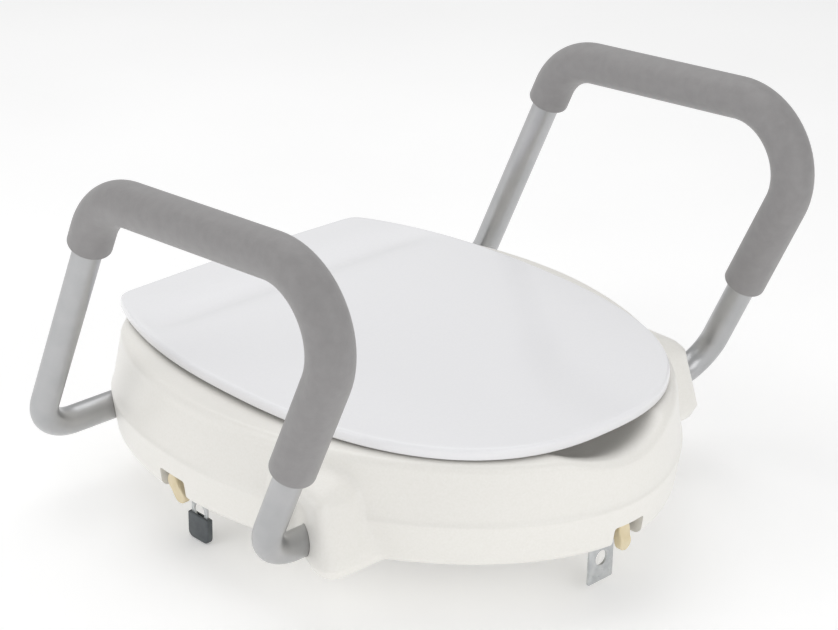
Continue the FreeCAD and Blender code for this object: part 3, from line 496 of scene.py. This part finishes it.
def bent_bar(bm, corners, bends, radius, segments, steps=20):
    """Sweeps a circle along straight runs and bends, with spin for each bend."""
    start = corners[0]
    along = (corners[1] - start).normalized()
    place = Matrix.Translation(start) @ along.to_track_quat("Z", "Y").to_matrix().to_4x4()
    made = bmesh.ops.create_circle(bm, segments=segments, radius=radius, matrix=place)["verts"]
    edges = list({e for v in made for e in v.link_edges})
    first = list(edges)
    for before, corner, after, bend in zip(corners, corners[1:], corners[2:], bends):
        inward, onward = (before - corner).normalized(), (after - corner).normalized()
        half = inward.angle(onward) / 2
        reach = bend / math.tan(half)
        middle = corner + (inward + onward).normalized() * (bend / math.sin(half))
        edges = straight(bm, edges, corner + inward * reach - start, 8)
        geometry = edges + list({v for e in edges for v in e.verts})
        spun = bmesh.ops.spin(bm, geom=geometry, cent=middle, axis=inward.cross(onward) * -1,
                              angle=math.pi - 2 * half, steps=steps)["geom_last"]
        edges = [e for e in spun if isinstance(e, bmesh.types.BMEdge)]
        start = corner + onward * reach
    edges = straight(bm, edges, corners[-1] - start, 8)
    return first, edges


def straight(bm, edges, whole, parts):
    """Extrudes a ring of edges in equal parts along a straight run."""
    for _ in range(parts):
        made = bmesh.ops.extrude_edge_only(bm, edges=edges)["geom"]
        verts = [v for v in made if isinstance(v, bmesh.types.BMVert)]
        bmesh.ops.translate(bm, vec=whole / parts, verts=verts)
        fresh = set(verts)
        edges = [e for e in made if isinstance(e, bmesh.types.BMEdge) and set(e.verts) <= fresh]
    return edges


# Satin anodised aluminium has a soft, slightly grey sheen. Its etched grain is finer than a
# render shows, so it is drawn at 1.2 mm.
anodised, tree, shader, where = surface("satin_anodised_aluminium", 0.34, metallic=1.0)
mottled(tree, shader, where, "#B3B4B5", "#BDBDBE", 30)
etched = add(tree, "ShaderNodeTexNoise", [("Vector", where)], Scale=1000 / 1.2, Detail=2.0)
bumped(tree, shader, etched.outputs["Fac"], 0.01, 0.5)
roughened(tree, shader, etched.outputs["Fac"], 0.30, 0.38)

for side, sign in (("left", 1), ("right", -1)):
    bm = bmesh.new()
    route = arm_corners(sign)
    bends = (BOTTOM_BEND, TOP_BEND, TOP_BEND, BOTTOM_BEND)
    outer = bent_bar(bm, route, bends, TUBE_RADIUS, 64)
    inner = bent_bar(bm, route, bends, TUBE_RADIUS - TUBE_WALL, 64)
    for ends in zip(outer, inner):
        bmesh.ops.bridge_loops(bm, edges=ends[0] + ends[1])
    bmesh.ops.recalc_face_normals(bm, faces=bm.faces)
    holes = bmesh.new()
    for end, y in LEGS.values():
        below = Matrix.Translation((sign * (end + BUTTON_FROM_END), y, LEG_HEIGHT - 12))
        rod(holes, BUTTON_HOLE_RADIUS, 10, below, 32)
    tube = made_object(f"tube_{side}", bm)
    combine(tube, "DIFFERENCE", made_object("holes", holes))
    shaded(tube)
    finish(tube, anodised, "seat", "tube_aluminium", f"arm_tube_{side}")


# ---- foam grips ----------------------------------------------------------------------------
# A sleeve of closed-cell nitrile foam, extruded, cut square and blown onto each rail. It
# wraps both bends and runs far down the front post. Its skin is matt with fine open pores.
GRIP_RADIUS = 19
FRONT_DROP, REAR_DROP = 195, 54

# The foam is a dull, even grey. Its pores are under half a millimetre, so they are drawn at
# 1.6 mm to show.
foam, tree, shader, where = surface("closed_cell_foam", 0.5, ior=1.5)
mottled(tree, shader, where, "#8D8B8B", "#939191", 9)
shader.inputs["Sheen Weight"].default_value = 0.15
shader.inputs["Sheen Roughness"].default_value = 0.5
cells = add(tree, "ShaderNodeTexVoronoi", [("Vector", where)], Scale=1000 / 1.6)
grain = add(tree, "ShaderNodeTexNoise", [("Vector", where)], Scale=1000 / 2.5, Detail=4.0)
pores = [(0, cells.outputs["Distance"]), (1, grain.outputs["Fac"])]
mixed = add(tree, "ShaderNodeMath", pores, operation="ADD")
bumped(tree, shader, mixed.outputs["Value"], 0.12, 0.7)

for side, sign in (("left", 1), ("right", -1)):
    corners = arm_corners(sign)
    front, rear = corners[2], corners[3]
    route = [front + (corners[1] - front).normalized() * FRONT_DROP, front, rear,
             rear + (corners[4] - rear).normalized() * REAR_DROP]
    bm = bmesh.new()
    outer = bent_bar(bm, route, (TOP_BEND, TOP_BEND), GRIP_RADIUS, 72, 24)
    inner = bent_bar(bm, route, (TOP_BEND, TOP_BEND), TUBE_RADIUS, 72, 24)
    for ends in zip(outer, inner):
        bmesh.ops.bridge_loops(bm, edges=ends[0] + ends[1])
    bmesh.ops.recalc_face_normals(bm, faces=bm.faces)
    rims = [e for loop in outer for e in loop]
    bevelled(bm, rims, 2.4, 5)
    bmesh.ops.recalc_face_normals(bm, faces=bm.faces)
    grip = made_object(f"grip_{side}", bm)
    shaded(grip, 60)
    finish(grip, foam, "seat", "grip_foam", f"arm_grip_{side}")


# ---- clamps --------------------------------------------------------------------------------
# Each clamp is a zinc-plated screw that the fingers turn by a cream nylon knob. It draws a
# pressed steel bracket inwards against the bowl. The side brackets wear a dipped rubber boot.
KNOB_TURNS = {"front": 10, "left": -40, "right": 40}
KNOB_HALF_WIDTH, KNOB_HALF_LENGTH = 6.5, 14
KNOB_NEAR, KNOB_MIDDLE, KNOB_FAR = 3, 7, 11
HUB_RADIUS, SCREW_RADIUS, SCREW_HEIGHT = 6.3, 3, 5
FRONT_BRACKET_HALF, SIDE_BRACKET_HALF = 15, 10.5
BRACKET_NEAR, BRACKET_MIDDLE, BRACKET_FAR = 28, 29, 30
BRACKET_FOOT, BRACKET_TOP = -48, 16
# each hole's height and radius: the lightening hole and the screw's
BRACKET_HOLES = ((-26, 7), (SCREW_HEIGHT, 3.5))
lying = Matrix.Rotation(math.pi / 2, 4, "X")

# Natural nylon is a cream that is never quite even, with a slight moulded texture.
nylon, tree, shader, where = surface("natural_nylon", 0.42, ior=1.53)
mottled(tree, shader, where, "#DFCFA8", "#E8DABA", 10)
grainy = add(tree, "ShaderNodeTexNoise", [("Vector", where)], Scale=1000 / 1.5, Detail=2.0)
bumped(tree, shader, grainy.outputs["Fac"], 0.03)

# Zinc plate is bright, and its spangle makes the gloss uneven.
zinc, tree, shader, where = surface("zinc_plated_steel", 0.3, metallic=1.0)
mottled(tree, shader, where, "#B9BCBE", "#D2D4D5", 6)
spangle = add(tree, "ShaderNodeTexNoise", [("Vector", where)], Scale=1000 / 3, Detail=3.0)
roughened(tree, shader, spangle.outputs["Fac"], 0.24, 0.42)
bumped(tree, shader, spangle.outputs["Fac"], 0.01, 0.5)

# Dipped rubber is a soft matt charcoal. Its skin is drawn at 1.4 mm so that it shows.
boot_rubber, tree, shader, where = surface("dipped_rubber", 0.55, ior=1.52)
mottled(tree, shader, where, "#4E5356", "#5B6063", 7)
skin = add(tree, "ShaderNodeTexNoise", [("Vector", where)], Scale=1000 / 1.4, Detail=3.0)
bumped(tree, shader, skin.outputs["Fac"], 0.05, 0.6)

for clamp, place in CLAMPS.items():
    # the knob: a flat bar with round ends, waisted a little for the fingers, on a round hub
    bm = bmesh.new()
    block(bm, -KNOB_HALF_WIDTH, KNOB_HALF_WIDTH, KNOB_NEAR, KNOB_FAR, -KNOB_HALF_LENGTH,
          KNOB_HALF_LENGTH)
    bmesh.ops.subdivide_edges(bm, edges=bm.edges, cuts=15, use_grid_fill=True)
    for v in bm.verts:
        end = max(0, abs(v.co.z) - KNOB_HALF_LENGTH + KNOB_HALF_WIDTH) / KNOB_HALF_WIDTH
        v.co.x *= math.sqrt(1 - 0.96 * end * end) * (1 - 0.10 * math.exp(-(v.co.z / 4) ** 2))
        thinned = 1 - 0.16 * (v.co.z / KNOB_HALF_LENGTH) ** 2
        v.co.y = KNOB_MIDDLE + (v.co.y - KNOB_MIDDLE) * thinned
        rounding = 1 - 0.09 * eased(abs(v.co.y - KNOB_MIDDLE), 2.6, 4)
        v.co.x, v.co.z = v.co.x * rounding, v.co.z * rounding
    hub = Matrix.Translation((0, 12, 0)) @ lying
    knob_turn = Matrix.Rotation(-math.radians(KNOB_TURNS[clamp]), 4, "Y")
    whole = place @ Matrix.Translation((0, 0, SCREW_HEIGHT)) @ knob_turn
    bmesh.ops.transform(bm, matrix=whole, verts=bm.verts)
    knob = made_object(f"knob_{clamp}", bm)
    bm = bmesh.new()
    rod(bm, HUB_RADIUS, 7.4, whole @ hub)
    combine(knob, "UNION", made_object("hub", bm))
    bm = bmesh.new()
    rod(bm, SCREW_RADIUS, 12, whole @ Matrix.Translation((0, 13, 0)) @ lying, 32)
    combine(knob, "DIFFERENCE", made_object("bore", bm))
    shaded(knob, 50)
    finish(knob, nylon, f"knob_{clamp}", "knob_nylon", f"clamp_knob_{clamp}")

    # the bracket: 2 mm plate with a large lightening hole, its corners clipped and deburred
    half = FRONT_BRACKET_HALF if clamp == "front" else SIDE_BRACKET_HALF
    bm = bmesh.new()
    block(bm, -half, half, BRACKET_NEAR, BRACKET_FAR, BRACKET_FOOT, BRACKET_TOP)
    corners = [e for e in bm.edges if abs(e.verts[0].co.y - e.verts[1].co.y) > 1]
    bevelled(bm, corners, 2, 4)
    arris = [e for e in bm.edges if e.calc_face_angle(0) > 1.2]
    bevelled(bm, arris, 0.3, 2)
    bmesh.ops.transform(bm, matrix=place, verts=bm.verts)
    bmesh.ops.recalc_face_normals(bm, faces=bm.faces)
    bracket = made_object(f"bracket_{clamp}", bm)
    bm = bmesh.new()
    for z, radius in BRACKET_HOLES:
        rod(bm, radius, 8, place @ Matrix.Translation((0, BRACKET_MIDDLE, z)) @ lying)
    bmesh.ops.recalc_face_normals(bm, faces=bm.faces)
    combine(bracket, "DIFFERENCE", made_object("bracket_holes", bm))
    shaded(bracket, 35)
    finish(bracket, zinc, f"bracket_{clamp}", "bracket_steel", f"clamp_bracket_{clamp}")

    if clamp == "front":
        continue
    # the boot: a thin pouch with round lower corners, open at its top for the plate
    bm = bmesh.new()
    block(bm, -13.5, 13.5, 26, 32, -54, -30)
    foot = [e for e in bm.edges
            if abs(e.verts[0].co.y - e.verts[1].co.y) > 1 and e.verts[0].co.z < -50]
    bevelled(bm, foot, 6, 6)
    sides = [e for e in bm.edges if e.calc_face_angle(0) > 1.2 and e.verts[0].co.z < 0]
    bevelled(bm, sides, 1.2, 3)
    bmesh.ops.transform(bm, matrix=place, verts=bm.verts)
    boot = made_object(f"boot_{clamp}", bm)
    bm = bmesh.new()
    block(bm, -half, half, BRACKET_NEAR, BRACKET_FAR, BRACKET_FOOT, -20)
    bmesh.ops.transform(bm, matrix=place, verts=bm.verts)
    combine(boot, "DIFFERENCE", made_object("slot", bm))
    shaded(boot, 45)
    finish(boot, boot_rubber, f"bracket_{clamp}", "boot_rubber", f"clamp_boot_{clamp}")


# ---- the small parts that the frame carries ------------------------------------------------
# Turned, pressed and moulded fittings whose shapes are already exact: screws, collars, pins,
# nuts, bearings, plugs, springs and buttons. Each gets the finish of its real material.
# Black acetal is satin, with a fine moulded texture.
black_plastic, tree, shader, where = surface("black_acetal", 0.4, ior=1.48)
mottled(tree, shader, where, "#1C1C1D", "#262627", 6)
texture = add(tree, "ShaderNodeTexNoise", [("Vector", where)], Scale=1000 / 1.2, Detail=3.0)
bumped(tree, shader, texture.outputs["Fac"], 0.03)

# Spring steel is bright from drawing, and its gloss varies a little.
spring_steel, tree, shader, where = surface("bright_spring_steel", 0.22, metallic=1.0)
mottled(tree, shader, where, "#A7A9AB", "#BFC1C3", 5)
drawn_lines = add(tree, "ShaderNodeTexNoise", [("Vector", where)], Scale=1000 / 0.9, Detail=2.0)
roughened(tree, shader, drawn_lines.outputs["Fac"], 0.18, 0.3)

CARRIED = {
    "hinge_post": polypropylene, "hinge_pin": zinc, "hinge_screws": zinc, "leg_plug": black_plastic,
    "leg_button": zinc, "leg_spring": spring_steel, "clamp_screw": zinc, "clamp_collar": zinc,
    "clamp_bearing": black_plastic, "clamp_nut": nylon, "clamp_fixing_screws": zinc,
}
for name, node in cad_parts.items():
    for kind, material in CARRIED.items():
        if name.startswith(kind):
            node.data.materials.clear()
            node.data.materials.append(material)


# ---- floor and light -----------------------------------------------------------------------
# A plain pale floor with three big soft boxes: one overhead and behind, and low fills at the
# left and at the front. The floor glows a little, as white paper does under studio light.
bm = bmesh.new()
bmesh.ops.create_grid(bm, x_segments=1, y_segments=1, size=8)
bmesh.ops.translate(bm, vec=(0, 0, -0.0545), verts=bm.verts)
floor = made_object("floor", bm, 1)
paper, tree, shader, where = surface("white_paper", 0.8)
mottled(tree, shader, where, "#F4F4F4", "#F8F8F8", 400)
shader.inputs["Emission Color"].default_value = linear("#FFFFFF")
shader.inputs["Emission Strength"].default_value = 0.2
floor.data.materials.append(paper)


def soft_box(name, watts, size, place, aim):
    """A rectangular lamp that faces a point."""
    light = bpy.data.objects.new(name, bpy.data.lights.new(name, "AREA"))
    light.data.shape = "RECTANGLE"
    light.data.energy, light.data.size, light.data.size_y = watts, size[0], size[1]
    place = Vector(place)
    facing = (place - Vector(aim)).to_track_quat("Z", "Y").to_matrix().to_4x4()
    light.matrix_world = Matrix.Translation(place) @ facing
    bpy.context.scene.collection.objects.link(light)


soft_box("overhead", 8.5, (1.6, 1.6), (0.2, 0.5, 1.7), (0, 0, 0.1))
soft_box("left_fill", 5, (0.9, 1.4), (-1.7, 0.5, 0.9), (0, 0, 0.1))
soft_box("front_fill", 7.5, (1.6, 1.2), (-0.3, -2.0, 0.9), (0, -0.1, 0.1))
world = bpy.data.worlds.new("studio")
bpy.context.scene.world = world
world.use_nodes = True
backdrop = world.node_tree.nodes["Background"]
backdrop.inputs["Color"].default_value = linear("#FFFFFF")
backdrop.inputs["Strength"].default_value = 0.6
bpy.context.scene.view_settings.view_transform = "Standard"
